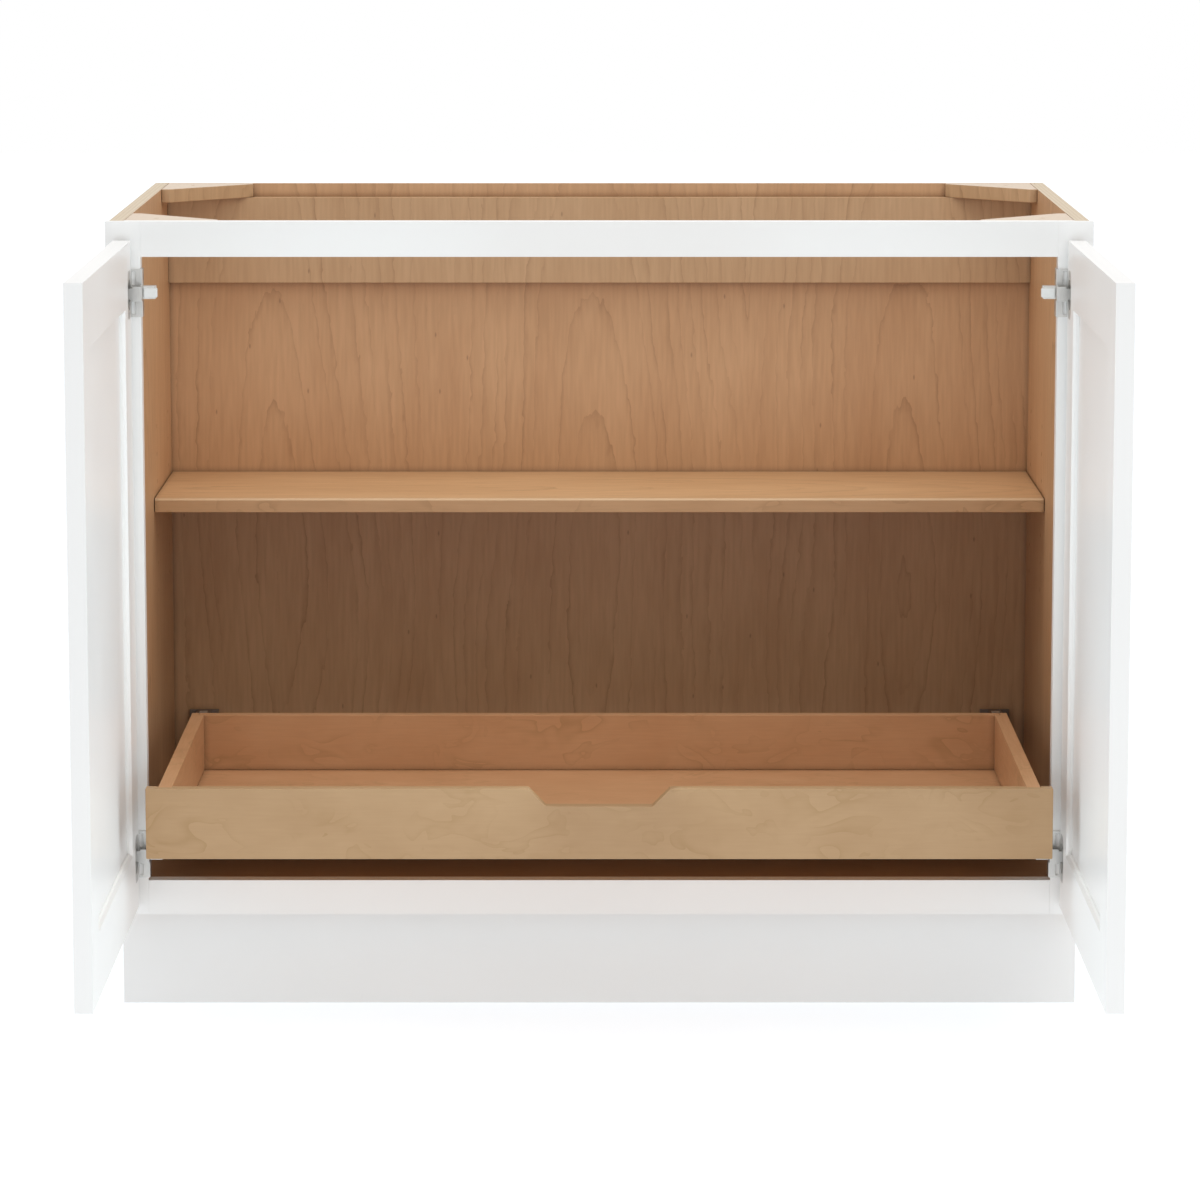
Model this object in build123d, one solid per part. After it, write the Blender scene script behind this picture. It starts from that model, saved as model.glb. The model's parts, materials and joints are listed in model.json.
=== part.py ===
from build123d import *
import os

# Double door base cabinet: a face-frame carcass, two five-piece doors on pin hinges,
# a half-depth shelf and a roll-out tray on roller slides.
# Millimetres. x runs to the right, y from the front of the face frame to the wall, z up.

# Carcass
CABINET_WIDTH = 1066.8
CABINET_HEIGHT = 876.3
CABINET_DEPTH = 609.6
PANEL_THICK = 15.9
DADO_DEPTH = 6.0
BACK_THICK = 6.0
BACK_RECESS = 3.0
BACK_SIDE_FIT = 0.5
TOE_HEIGHT = 114.3
TOE_SETBACK = 63.5
TOE_BOARD_THICK = 12.0
HANGING_RAIL_HEIGHT = 101.6
GUSSET_LEG = 101.6
GUSSET_TIP = 9.5
GUSSET_HOLE = 5.0
GUSSET_HOLE_INSET = 32.0

# Face frame
FRAME_THICK = 19.05
STILE_WIDTH = 38.1
TOP_RAIL_HEIGHT = 38.1
BOTTOM_RAIL_HEIGHT = 38.1
FRAME_OVERHANG = 3.2
FRAME_GROOVE = 6.0
DOWEL_DIAMETER = 8.0
DOWEL_LENGTH = 40.0
DOWEL_SPACING = 18.0
DOWEL_FIT = 0.1
DOWEL_END_ROOM = 1.0

# Shelf
SHELF_TOP = 530.0
SHELF_DEPTH = 254.0
SHELF_SIDE_GAP = 0.8
SHELF_BACK_GAP = 0.5
SHELF_EDGE_THICK = 6.0
SHELF_EASE = 3.0
SHELF_PIN_DIAMETER = 5.0
SHELF_PIN_LENGTH = 22.0
SHELF_PIN_BITE = 9.5
SHELF_PIN_FLAT = 0.5
SHELF_PIN_INSET = 50.0
PIN_HOLE_DEPTH = 10.0
PIN_HOLE_FIT = 0.1
PIN_HOLE_PITCH = 32.0
PIN_HOLES_EACH_WAY = 3

# Doors, with the reveals of the closed pair on the frame
DOOR_THICK = 19.05
DOOR_FRAME_WIDTH = 72.0
DOOR_PANEL_THICK = 6.35
DOOR_GROOVE = 10.0
DOOR_PANEL_ROOM = 0.8
DOOR_BEVEL = 3.0
DOOR_BEVEL_ANGLE = 45.0
DOOR_PAIR_GAP = 3.2
DOOR_SIDE_REVEAL = 9.9
DOOR_TOP_REVEAL = 20.0
DOOR_BOTTOM_REVEAL = 10.4
DOOR_STANDOFF = 3.0
DOOR_OPEN_ANGLE = 90.0

# Hinges
HINGE_INSET = 57.0
PIN_FROM_EDGE = 8.0
PIN_FROM_FACE = 10.0
PIN_DIAMETER = 3.0
PIN_LENGTH = 20.0
PIN_TURN_FIT = 0.08
PIN_END_ROOM = 1.0
PIN_SEAT_FIT = 0.05
KNUCKLE_DIAMETER = 5.0
NECK_HEIGHT = 12.0
ARM_THICK = 2.4
ARM_HEIGHT = 16.0
CUP_DIAMETER = 35.0
CUP_DEPTH = 14.5
CUP_WALL = 0.9
CUP_FROM_EDGE = 3.0
CUP_FIT = 0.1
EAR_GAP = 0.5
EAR_REACH = 4.0
FLANGE_WIDTH = 37.0
FLANGE_HEIGHT = 52.0
FLANGE_THICK = 1.5
FLANGE_CORNER = 12.0
CUP_SCREW_SPACING = 43.0
PLATE_HEIGHT = 52.0
PLATE_THICK = 2.0
PLATE_REACH = 17.0
PLATE_WRAP = 10.5
PLATE_WRAP_THICK = 1.5
PLATE_SLOT_WIDTH = 4.0
PLATE_SLOT_LENGTH = 15.0
PLATE_SLOT_INSET = 3.0
PLATE_SCREW_SPACING = 34.0
PLATE_SCREW_BACK = 10.0
PLATE_SCREW_HEAD_THICK = 1.2
SCREW_DIAMETER = 4.0
SCREW_LENGTH = 16.0
SCREW_HEAD_DIAMETER = 7.5
SCREW_HEAD_THICK = 2.0
CUP_SCREW_LENGTH = 12.0
CUP_SCREW_HEAD_DIAMETER = 6.0
CUP_SCREW_HEAD_THICK = 1.0
SCREW_FIT = 0.1
DAMPER_WIDTH = 13.7
DAMPER_DEPTH = 15.0
DAMPER_BACK = 2.0
DAMPER_HEIGHT = 13.7
DAMPER_NOSE_WIDTH = 14.5
DAMPER_NOSE_DEPTH = 3.0
DAMPER_NOSE_HEIGHT = 9.8
DAMPER_NOSE_INSET = 1.2
DAMPER_EASE = 1.0

# Tray, drawn out on its slides
TRAY_OPENING_GAP = 12.7
TRAY_FRONT_WIDTH = CABINET_WIDTH - 2 * (STILE_WIDTH + TRAY_OPENING_GAP)
TRAY_HEIGHT = 76.2
TRAY_FRONT_THICK = 15.9
TRAY_SIDE_THICK = 15.0
TRAY_LENGTH = 474.0
TRAY_LOW = 210.2
TRAY_DRAWN_OUT = 170.0
TRAY_SHUT_BACK = 6.0
TRAY_BOTTOM_THICK = 6.0
TRAY_BOTTOM_RISE = 6.0
TRAY_GROOVE = 6.0
TRAY_BOTTOM_ROOM = 0.5
SCOOP_WIDTH = 151.0
SCOOP_FOOT_WIDTH = 113.0
SCOOP_DEPTH = 19.0
SLIDE_GAP = 12.7

# Roller slides
STEEL_THICK = 1.2
RAIL_CLEAR = 0.8
RAIL_RISE = 4.8
RAIL_LIP = 8.5
RAIL_FRONT_GAP = 2.0
RAIL_TO_BACK = 12.0
ROLLER_DIAMETER = 20.0
ROLLER_WIDTH = 7.0
ROLLER_CLEAR = 0.3
ROLLER_END_INSET = 13.0
AXLE_DIAMETER = 5.0
AXLE_FIT = 0.08
AXLE_HEAD_DIAMETER = 7.0
AXLE_HEAD_THICK = 0.6
RUNNER_LIP_CLEAR = 0.5
RUNNER_FOOT = 13.0
RUNNER_FLANGE = 9.0
RUNNER_SCREW_INSET = 60.0
RUNNER_SCREW_LENGTH = 10.0
RUNNER_SCREW_HEAD_THICK = 0.7
RUNNER_SCREW_HEAD_DIAMETER = 6.0
BRACKET_THICK = 1.5
BRACKET_LENGTH = 45.0
BRACKET_SCREW_EDGE = 4.1
SOCKET_BODY_WALL = 3.0
SOCKET_BODY_LENGTH = 34.0
SOCKET_BASE_WIDTH = 35.0
SOCKET_BASE_THICK = 4.0
SOCKET_BASE_HEIGHT = 37.0
SOCKET_FIT = 0.2
SOCKET_SCREW_SPACING = 26.5
SOCKET_SCREW_LENGTH = 9.5
SOCKET_SCREW_HEAD_DIAMETER = 6.0

# Places that follow from the sizes
half_width = CABINET_WIDTH / 2
side_outer = half_width - FRAME_OVERHANG
side_inner = side_outer - PANEL_THICK
opening_x = half_width - STILE_WIDTH
opening_low = TOE_HEIGHT + BOTTOM_RAIL_HEIGHT
opening_high = CABINET_HEIGHT - TOP_RAIL_HEIGHT
floor_low = opening_low - PANEL_THICK
back_front = CABINET_DEPTH - BACK_RECESS - BACK_THICK
gusset_low = CABINET_HEIGHT - PANEL_THICK

door_edge_x = half_width - DOOR_SIDE_REVEAL
door_low = TOE_HEIGHT + DOOR_BOTTOM_REVEAL
door_high = CABINET_HEIGHT - DOOR_TOP_REVEAL
door_inner_y = -DOOR_STANDOFF
door_outer_y = door_inner_y - DOOR_THICK
hinge_x = door_edge_x - PIN_FROM_EDGE
hinge_y = door_inner_y - PIN_FROM_FACE
hinge_heights = {"lower": door_low + HINGE_INSET, "upper": door_high - HINGE_INSET}
cup_x = door_edge_x - CUP_FROM_EDGE - CUP_DIAMETER / 2

tray_half = TRAY_FRONT_WIDTH / 2 - SLIDE_GAP
tray_high = TRAY_LOW + TRAY_HEIGHT
tray_front_y = -TRAY_DRAWN_OUT
tray_box_y = tray_front_y + TRAY_FRONT_THICK
tray_back_y = tray_front_y + TRAY_LENGTH
rail_outer = TRAY_FRONT_WIDTH / 2 + RAIL_CLEAR
rail_low = TRAY_LOW + RAIL_RISE
rail_floor = rail_low + STEEL_THICK
roller_z = rail_floor + ROLLER_CLEAR + ROLLER_DIAMETER / 2
runner_top_low = roller_z + ROLLER_DIAMETER / 2 + ROLLER_CLEAR
runner_high = runner_top_low + STEEL_THICK
rail_high = runner_high + RUNNER_LIP_CLEAR + STEEL_THICK
rail_front = TRAY_SHUT_BACK + TRAY_FRONT_THICK + RAIL_FRONT_GAP
rail_back = back_front - RAIL_TO_BACK
rail_web = rail_outer - STEEL_THICK
runner_outer = tray_half + STEEL_THICK
roller_x = (runner_outer + rail_web) / 2

# The origin lies under the middle of the whole part with its doors open.
door_reach = -hinge_y + (hinge_x - DOOR_PAIR_GAP / 2)
origin_y = (CABINET_DEPTH - door_reach) / 2


def block(x, y, z):
    """A box between the two ends that are given along each axis."""
    size = [ends[1] - ends[0] for ends in (x, y, z)]
    middle = [(ends[0] + ends[1]) / 2 for ends in (x, y, z)]
    return Pos(*middle) * Box(*size)


def rod(radius, x, y, z):
    """A cylinder along the one axis that is given as two ends."""
    turns = {0: Rot(0, 90, 0), 1: Rot(90, 0, 0), 2: Rot(0, 0, 0)}
    ends = (x, y, z)
    along = [isinstance(place, tuple) for place in ends].index(True)
    low, high = ends[along]
    middle = list(ends)
    middle[along] = (low + high) / 2
    return Pos(*middle) * turns[along] * Cylinder(radius, high - low)


def to_left(shape):
    """The same piece on the left side of the cabinet."""
    return mirror(shape, about=Plane.YZ)


def open_door(shape):
    """A piece of the closed right door, swung open about its hinge pins."""
    swing = Pos(hinge_x, hinge_y, 0) * Rot(0, 0, DOOR_OPEN_ANGLE) * Pos(-hinge_x, -hinge_y, 0)
    return swing * shape


def group(shapes):
    """Separate solids that share one node."""
    return Compound(children=list(shapes))


nodes = {}


def both_sides(name, shape):
    """Adds a right-hand piece and its mirrored left-hand twin. The name holds a place for the side."""
    nodes[name.format("right")] = shape
    nodes[name.format("left")] = to_left(shape)


# Carcass
shelf_low = SHELF_TOP - PANEL_THICK
shelf_back = back_front - SHELF_BACK_GAP
shelf_front = shelf_back - SHELF_DEPTH
pin_rows = (shelf_front + SHELF_PIN_INSET, shelf_back - SHELF_PIN_INSET)
pin_z = shelf_low - SHELF_PIN_DIAMETER / 2 + SHELF_PIN_FLAT


def side_panel():
    """The right side, with its toe notch, floor dado, back groove and two rows of shelf pin holes."""
    toe_back = TOE_SETBACK + TOE_BOARD_THICK
    panel_x = (side_inner, side_outer)
    panel = block(panel_x, (FRAME_THICK - FRAME_GROOVE, CABINET_DEPTH), (0, CABINET_HEIGHT))
    panel -= block(panel_x, (0, toe_back), (0, TOE_HEIGHT))
    dado_x = (side_inner, side_inner + DADO_DEPTH)
    panel -= block(dado_x, (FRAME_THICK, back_front), (floor_low, opening_low))
    panel -= block(dado_x, (back_front, back_front + BACK_THICK), (floor_low, CABINET_HEIGHT))
    for row_y in pin_rows:
        for step in range(-PIN_HOLES_EACH_WAY, PIN_HOLES_EACH_WAY + 1):
            hole_z = pin_z + step * PIN_HOLE_PITCH
            hole_x = (side_inner, side_inner + PIN_HOLE_DEPTH)
            panel -= rod(SHELF_PIN_DIAMETER / 2 + PIN_HOLE_FIT, hole_x, row_y, hole_z)
    return panel


def gusset(corner_y, into):
    """A right-hand corner gusset with clipped tips. It runs into the cabinet along y by the sign given."""
    tips = [(-GUSSET_LEG, 0), (-GUSSET_LEG, GUSSET_TIP), (-GUSSET_TIP, GUSSET_LEG), (0, GUSSET_LEG)]
    corners = [(side_inner + x, corner_y + into * y) for x, y in [(0, 0)] + tips]
    face = make_face(Polyline(*corners, close=True))
    plate = extrude(Pos(0, 0, gusset_low) * face, PANEL_THICK, dir=(0, 0, 1))
    hole_y = corner_y + into * GUSSET_HOLE_INSET
    hole_z = (gusset_low, CABINET_HEIGHT)
    return plate - rod(GUSSET_HOLE / 2, side_inner - GUSSET_HOLE_INSET, hole_y, hole_z)


def carcass():
    both_sides("side_panel_{}", side_panel())
    dado_x = side_inner + DADO_DEPTH
    nodes["floor_panel"] = block((-dado_x, dado_x), (FRAME_THICK, back_front), (floor_low, opening_low))
    back_x = dado_x - BACK_SIDE_FIT
    back_y = (back_front, back_front + BACK_THICK)
    nodes["back_panel"] = block((-back_x, back_x), back_y, (floor_low, CABINET_HEIGHT))
    rail_y = (back_front - PANEL_THICK, back_front)
    rail_z = (gusset_low - HANGING_RAIL_HEIGHT, gusset_low)
    nodes["hanging_rail"] = block((-side_inner, side_inner), rail_y, rail_z)
    toe_y = (TOE_SETBACK, TOE_SETBACK + TOE_BOARD_THICK)
    nodes["toe_kick_board"] = block((-side_outer, side_outer), toe_y, (0, TOE_HEIGHT))
    both_sides("corner_gusset_front_{}", gusset(FRAME_THICK, 1))
    both_sides("corner_gusset_back_{}", gusset(back_front, -1))


# Face frame
def frame_dowel_places():
    """Heights of the dowels that join a stile to the two rails."""
    middles = (CABINET_HEIGHT - TOP_RAIL_HEIGHT / 2, TOE_HEIGHT + BOTTOM_RAIL_HEIGHT / 2)
    return [middle + side * DOWEL_SPACING / 2 for middle in middles for side in (-1, 1)]


def frame_dowels(radius, half_length):
    """Right-hand dowels, or their holes, across the joint between stile and rail."""
    x = (opening_x - half_length, opening_x + half_length)
    y = (FRAME_THICK - FRAME_GROOVE) / 2
    return [rod(radius, x, y, z) for z in frame_dowel_places()]


def plate_screw_heights():
    """Heights of the screws that hold a side's two hinge plates."""
    places = hinge_heights.values()
    return [z + side * PLATE_SCREW_SPACING / 2 for z in places for side in (-1, 1)]


def bracket_screw_x():
    """Distance of a slide's front screw from the middle of the cabinet."""
    return (opening_x + side_inner) / 2


def face_frame():
    dowel_half = DOWEL_LENGTH / 2
    dowel_radius = DOWEL_DIAMETER / 2
    stile = block((opening_x, half_width), (0, FRAME_THICK), (TOE_HEIGHT, CABINET_HEIGHT))
    groove_y = (FRAME_THICK - FRAME_GROOVE, FRAME_THICK)
    stile -= block((side_inner, side_outer), groove_y, (TOE_HEIGHT, CABINET_HEIGHT))
    holes = frame_dowels(dowel_radius + DOWEL_FIT, dowel_half + DOWEL_END_ROOM)
    for hole in holes:
        stile -= hole
    for z in plate_screw_heights():
        x = (opening_x, opening_x + SCREW_LENGTH)
        stile -= rod(SCREW_DIAMETER / 2 + SCREW_FIT, x, PLATE_SCREW_BACK, z)
    screw_y = (FRAME_THICK - SCREW_LENGTH + BRACKET_THICK, FRAME_THICK)
    stile -= rod(SCREW_DIAMETER / 2 + SCREW_FIT, bracket_screw_x(), screw_y, roller_z)
    both_sides("frame_stile_{}", stile)
    rail_heights = {
        "frame_top_rail": (opening_high, CABINET_HEIGHT),
        "frame_bottom_rail": (TOE_HEIGHT, opening_low),
    }
    for name, z in rail_heights.items():
        rail = block((-opening_x, opening_x), (0, FRAME_THICK), z)
        for hole in holes:
            rail -= hole
            rail -= to_left(hole)
        nodes[name] = rail
    dowels = frame_dowels(dowel_radius, dowel_half)
    nodes["frame_dowels"] = group(dowels + [to_left(dowel) for dowel in dowels])


# Shelf
def shelf():
    shelf_x = side_inner - SHELF_SIDE_GAP
    strip_back = shelf_front + SHELF_EDGE_THICK
    nodes["shelf_panel"] = block((-shelf_x, shelf_x), (strip_back, shelf_back), (shelf_low, SHELF_TOP))
    strip = block((-shelf_x, shelf_x), (shelf_front, strip_back), (shelf_low, SHELF_TOP))
    front_top = strip.edges().filter_by(Axis.X).group_by(Axis.Z)[-1].sort_by(Axis.Y)[0]
    nodes["shelf_edge_strip"] = fillet(front_top, SHELF_EASE)
    pins = []
    for row_y in pin_rows:
        pin_x = (side_inner + SHELF_PIN_BITE - SHELF_PIN_LENGTH, side_inner + SHELF_PIN_BITE)
        pin = rod(SHELF_PIN_DIAMETER / 2, pin_x, row_y, pin_z)
        flat_x = (pin_x[0], side_inner)
        flat_y = (row_y - SHELF_PIN_DIAMETER, row_y + SHELF_PIN_DIAMETER)
        pin -= block(flat_x, flat_y, (shelf_low, SHELF_TOP))
        pins += [pin, to_left(pin)]
    nodes["shelf_pins"] = group(pins)


# Doors
def door_bevel(x, z):
    """The eased inner edge of the door frame around the panel, as the shape that is cut away."""
    face = Rectangle(x[1] - x[0], z[1] - z[0])
    plane = Plane(((x[0] + x[1]) / 2, door_inner_y - DOOR_BEVEL, (z[0] + z[1]) / 2), (1, 0, 0), (0, 1, 0))
    return extrude(plane * face, DOOR_BEVEL, taper=-DOOR_BEVEL_ANGLE)


def cup_screw_places():
    """Heights of the screws that hold a door's two hinge cups."""
    places = hinge_heights.values()
    return [z + side * CUP_SCREW_SPACING / 2 for z in places for side in (-1, 1)]


def cup_seat(z):
    """What a hinge cup, with its flange, takes out of the door's hinge stile."""
    bore_y = (door_inner_y - CUP_DEPTH - CUP_FIT, door_inner_y)
    seat = rod(CUP_DIAMETER / 2 + CUP_FIT, cup_x, bore_y, z)
    return seat + cup_flange(z, CUP_FIT)


def cup_flange(z, fit=0.0):
    """The rounded flange of a hinge cup, let in flush with the door's inner face."""
    outline = RectangleRounded(FLANGE_WIDTH + 2 * fit, FLANGE_HEIGHT + 2 * fit, FLANGE_CORNER + fit)
    plane = Plane((cup_x, door_inner_y, z), (1, 0, 0), (0, -1, 0))
    return extrude(plane * outline, FLANGE_THICK)


def door_frame():
    """Nodes of the right door, built closed and then swung open."""
    y = (door_outer_y, door_inner_y)
    outer_x = (DOOR_PAIR_GAP / 2, door_edge_x)
    inner_x = (outer_x[0] + DOOR_FRAME_WIDTH, outer_x[1] - DOOR_FRAME_WIDTH)
    inner_z = (door_low + DOOR_FRAME_WIDTH, door_high - DOOR_FRAME_WIDTH)
    middle_y = (door_outer_y + door_inner_y) / 2
    groove_y = (middle_y - DOOR_PANEL_THICK / 2, middle_y + DOOR_PANEL_THICK / 2)
    groove_x = (inner_x[0] - DOOR_GROOVE, inner_x[1] + DOOR_GROOVE)
    groove_z = (inner_z[0] - DOOR_GROOVE, inner_z[1] + DOOR_GROOVE)
    bevel = door_bevel(inner_x, inner_z)
    stile_groove = block(groove_x, groove_y, (door_low, door_high))
    rail_groove = block(groove_x, groove_y, groove_z)
    hinge_stile = block((inner_x[1], outer_x[1]), y, (door_low, door_high)) - stile_groove - bevel
    for z in hinge_heights.values():
        hinge_stile -= cup_seat(z)
    for z in cup_screw_places():
        screw_y = (door_inner_y - FLANGE_THICK - CUP_SCREW_LENGTH, door_inner_y)
        hinge_stile -= rod(SCREW_DIAMETER / 2 + SCREW_FIT, cup_x, screw_y, z)
    lock_stile = block((outer_x[0], inner_x[0]), y, (door_low, door_high)) - stile_groove - bevel
    pieces = {"hinge_stile": hinge_stile, "lock_stile": lock_stile}
    rail_heights = {"top_rail": (inner_z[1], door_high), "bottom_rail": (door_low, inner_z[0])}
    for name, z in rail_heights.items():
        rail = block(inner_x, y, z) - rail_groove
        tenons = block(groove_x, groove_y, z) - block(inner_x, groove_y, z) - rail_groove
        pieces[name] = rail - bevel + tenons
    panel_x = (groove_x[0] + DOOR_PANEL_ROOM, groove_x[1] - DOOR_PANEL_ROOM)
    panel_z = (groove_z[0] + DOOR_PANEL_ROOM, groove_z[1] - DOOR_PANEL_ROOM)
    pieces["panel"] = block(panel_x, groove_y, panel_z)
    for name, piece in pieces.items():
        both_sides("{}_door_" + name, open_door(piece))


# Hinges
def hinge_cup(z):
    """A closed right door's hinge cup: a pressed bowl with a flange and two ears that hold the pin."""
    cup_bottom = door_inner_y - CUP_DEPTH
    bowl = rod(CUP_DIAMETER / 2, cup_x, (cup_bottom, door_inner_y), z) + cup_flange(z)
    inner_radius = CUP_DIAMETER / 2 - CUP_WALL
    bowl -= rod(inner_radius, cup_x, (cup_bottom + CUP_WALL, door_inner_y), z)
    ear_low = NECK_HEIGHT / 2 + EAR_GAP
    ear_x = (hinge_x - EAR_REACH, hinge_x + CUP_DIAMETER)
    ear_y = (cup_bottom + CUP_WALL / 2, hinge_y + EAR_REACH)
    ears = block(ear_x, ear_y, (z + ear_low, z + CUP_DIAMETER))
    ears += block(ear_x, ear_y, (z - CUP_DIAMETER, z - ear_low))
    room = rod(CUP_DIAMETER / 2 - CUP_WALL / 2, cup_x, (cup_bottom, door_inner_y), z)
    cup = bowl + (ears & room)
    pin_reach = PIN_LENGTH / 2 + PIN_END_ROOM
    cup -= rod(PIN_DIAMETER / 2 + PIN_TURN_FIT, hinge_x, hinge_y, (z - pin_reach, z + pin_reach))
    for side in (-1, 1):
        cup -= cup_screw(z + side * CUP_SCREW_SPACING / 2, SCREW_FIT)
    return cup


def cup_screw(z, fit=0.0):
    """A screw with a flat head that lies flush in the flange of a hinge cup."""
    head_y = (door_inner_y - CUP_SCREW_HEAD_THICK, door_inner_y)
    shank_y = (door_inner_y - CUP_SCREW_LENGTH, door_inner_y)
    head = rod(CUP_SCREW_HEAD_DIAMETER / 2 + fit, cup_x, head_y, z)
    return head + rod(SCREW_DIAMETER / 2 + fit, cup_x, shank_y, z)


def hinge_plate(z):
    """A right-hand plate that wraps the stile's inner corner, with the arm that reaches to the pin."""
    plate_x = (opening_x - PLATE_THICK, opening_x)
    plate_z = (z - PLATE_HEIGHT / 2, z + PLATE_HEIGHT / 2)
    plate = block(plate_x, (-PLATE_WRAP_THICK, PLATE_REACH), plate_z)
    plate += block((opening_x, opening_x + PLATE_WRAP), (-PLATE_WRAP_THICK, 0), plate_z)
    arm_y = (hinge_y - KNUCKLE_DIAMETER / 2, hinge_y - KNUCKLE_DIAMETER / 2 + ARM_THICK)
    arm_z = (z - ARM_HEIGHT / 2, z + ARM_HEIGHT / 2)
    neck_z = (z - NECK_HEIGHT / 2, z + NECK_HEIGHT / 2)
    plate += block(plate_x, (arm_y[0], 0), arm_z)
    plate += block((plate_x[0], cup_x), arm_y, arm_z)
    plate += block((plate_x[0], hinge_x), arm_y, neck_z)
    plate += rod(KNUCKLE_DIAMETER / 2, hinge_x, hinge_y, neck_z)
    plate -= rod(PIN_DIAMETER / 2 + PIN_SEAT_FIT, hinge_x, hinge_y, neck_z)
    slot_x = opening_x + PLATE_WRAP - PLATE_SLOT_INSET
    slot_gap = (PLATE_HEIGHT / 2 + NECK_HEIGHT / 2) / 2
    for side in (-1, 1):
        slot = SlotOverall(PLATE_SLOT_LENGTH, PLATE_SLOT_WIDTH, rotation=90)
        slot_plane = Plane((slot_x, 0, z + side * slot_gap), (1, 0, 0), (0, -1, 0))
        plate -= extrude(slot_plane * slot, PLATE_WRAP_THICK)
        plate -= plate_screw(z + side * PLATE_SCREW_SPACING / 2, SCREW_FIT)
    return plate


def plate_screw(z, fit=0.0):
    """A right-hand screw into the edge of the stile, with a flat head that lies flush in a hinge plate."""
    face_x = opening_x - PLATE_THICK
    head = rod(SCREW_HEAD_DIAMETER / 2 + fit, (face_x, face_x + PLATE_SCREW_HEAD_THICK), PLATE_SCREW_BACK, z)
    return head + rod(SCREW_DIAMETER / 2 + fit, (face_x, face_x + SCREW_LENGTH), PLATE_SCREW_BACK, z)


def hinge_damper(z):
    """The right-hand soft-close block on a hinge plate, with its nose towards the door."""
    seat_x = opening_x - PLATE_THICK
    body_y = (DAMPER_BACK, DAMPER_BACK + DAMPER_DEPTH)
    body_z = (z - DAMPER_HEIGHT / 2, z + DAMPER_HEIGHT / 2)
    body = block((seat_x - DAMPER_WIDTH, seat_x), body_y, body_z)
    body = fillet(body.edges().filter_by(Axis.Y).group_by(Axis.X)[0], DAMPER_EASE)
    nose_x = (seat_x - DAMPER_NOSE_INSET - DAMPER_NOSE_WIDTH, seat_x - DAMPER_NOSE_INSET)
    nose_y = (DAMPER_BACK - DAMPER_NOSE_DEPTH, DAMPER_BACK + DAMPER_NOSE_DEPTH)
    nose_z = (z - DAMPER_NOSE_HEIGHT / 2, z + DAMPER_NOSE_HEIGHT / 2)
    nose = block(nose_x, nose_y, nose_z)
    nose = fillet(nose.edges().filter_by(Axis.Y).group_by(Axis.X)[0], DAMPER_EASE)
    return body + nose


def hinges():
    heights = hinge_heights.values()
    for name, z in hinge_heights.items():
        both_sides("hinge_plate_{}_" + name, hinge_plate(z))
        both_sides("{}_hinge_cup_" + name, open_door(hinge_cup(z)))
    reach = PIN_LENGTH / 2
    small_pieces = {
        "hinge_pins": [rod(PIN_DIAMETER / 2, hinge_x, hinge_y, (z - reach, z + reach)) for z in heights],
        "hinge_dampers": [hinge_damper(z) for z in heights],
        "hinge_plate_screws": [plate_screw(z) for z in plate_screw_heights()],
    }
    for name, shapes in small_pieces.items():
        nodes[name] = group(shapes + [to_left(shape) for shape in shapes])
    cup_screws = [open_door(cup_screw(z)) for z in cup_screw_places()]
    nodes["right_cup_screws"] = group(cup_screws)
    nodes["left_cup_screws"] = group([to_left(screw) for screw in cup_screws])


# Tray
tray_inner = tray_half - TRAY_SIDE_THICK
tray_groove_x = tray_inner + TRAY_GROOVE
tray_bottom_z = (TRAY_LOW + TRAY_BOTTOM_RISE, TRAY_LOW + TRAY_BOTTOM_RISE + TRAY_BOTTOM_THICK)
tray_back_front = tray_back_y - TRAY_SIDE_THICK
tray_z = (TRAY_LOW, tray_high)


def tray_bottom_groove():
    """The space of the tray's bottom with its grooves in the four boards around it."""
    groove_y = (tray_box_y - TRAY_GROOVE, tray_back_front + TRAY_GROOVE)
    return block((-tray_groove_x, tray_groove_x), groove_y, tray_bottom_z)


def runner_screw_places():
    """Where the runner's screws lie along the tray."""
    return (tray_box_y + RUNNER_SCREW_INSET, tray_back_y - RUNNER_SCREW_INSET)


def runner_screw(y, fit=0.0):
    """A right-hand screw through the runner into the tray's side."""
    head_x = (runner_outer, runner_outer + RUNNER_SCREW_HEAD_THICK)
    head = rod(RUNNER_SCREW_HEAD_DIAMETER / 2, head_x, y, roller_z)
    shank_x = (runner_outer - RUNNER_SCREW_LENGTH, runner_outer)
    return head + rod(SCREW_DIAMETER / 2 + fit, shank_x, y, roller_z)


def tray_box():
    front_x = TRAY_FRONT_WIDTH / 2
    front = block((-front_x, front_x), (tray_front_y, tray_box_y), tray_z)
    scoop = [(SCOOP_WIDTH / 2, 0), (SCOOP_FOOT_WIDTH / 2, -SCOOP_DEPTH)]
    outline = scoop + [(-x, z) for x, z in reversed(scoop)]
    scoop_plane = Plane((0, tray_box_y, tray_high), (1, 0, 0), (0, -1, 0))
    front -= extrude(scoop_plane * make_face(Polyline(*outline, close=True)), TRAY_FRONT_THICK)
    side = block((tray_inner, tray_half), (tray_box_y - TRAY_GROOVE, tray_back_y), tray_z)
    front -= side
    front -= to_left(side)
    back_board = block((-tray_groove_x, tray_groove_x), (tray_back_front, tray_back_y), tray_z)
    groove = tray_bottom_groove()
    side -= back_board
    side -= groove
    for y in runner_screw_places():
        side -= runner_screw(y, SCREW_FIT)
    nodes["tray_front"] = front - groove
    both_sides("tray_side_{}", side)
    nodes["tray_back"] = back_board - groove
    bottom_x = tray_groove_x - TRAY_BOTTOM_ROOM
    bottom_reach = TRAY_GROOVE - TRAY_BOTTOM_ROOM
    bottom_y = (tray_box_y - bottom_reach, tray_back_front + bottom_reach)
    nodes["tray_bottom"] = block((-bottom_x, bottom_x), bottom_y, tray_bottom_z)


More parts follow.
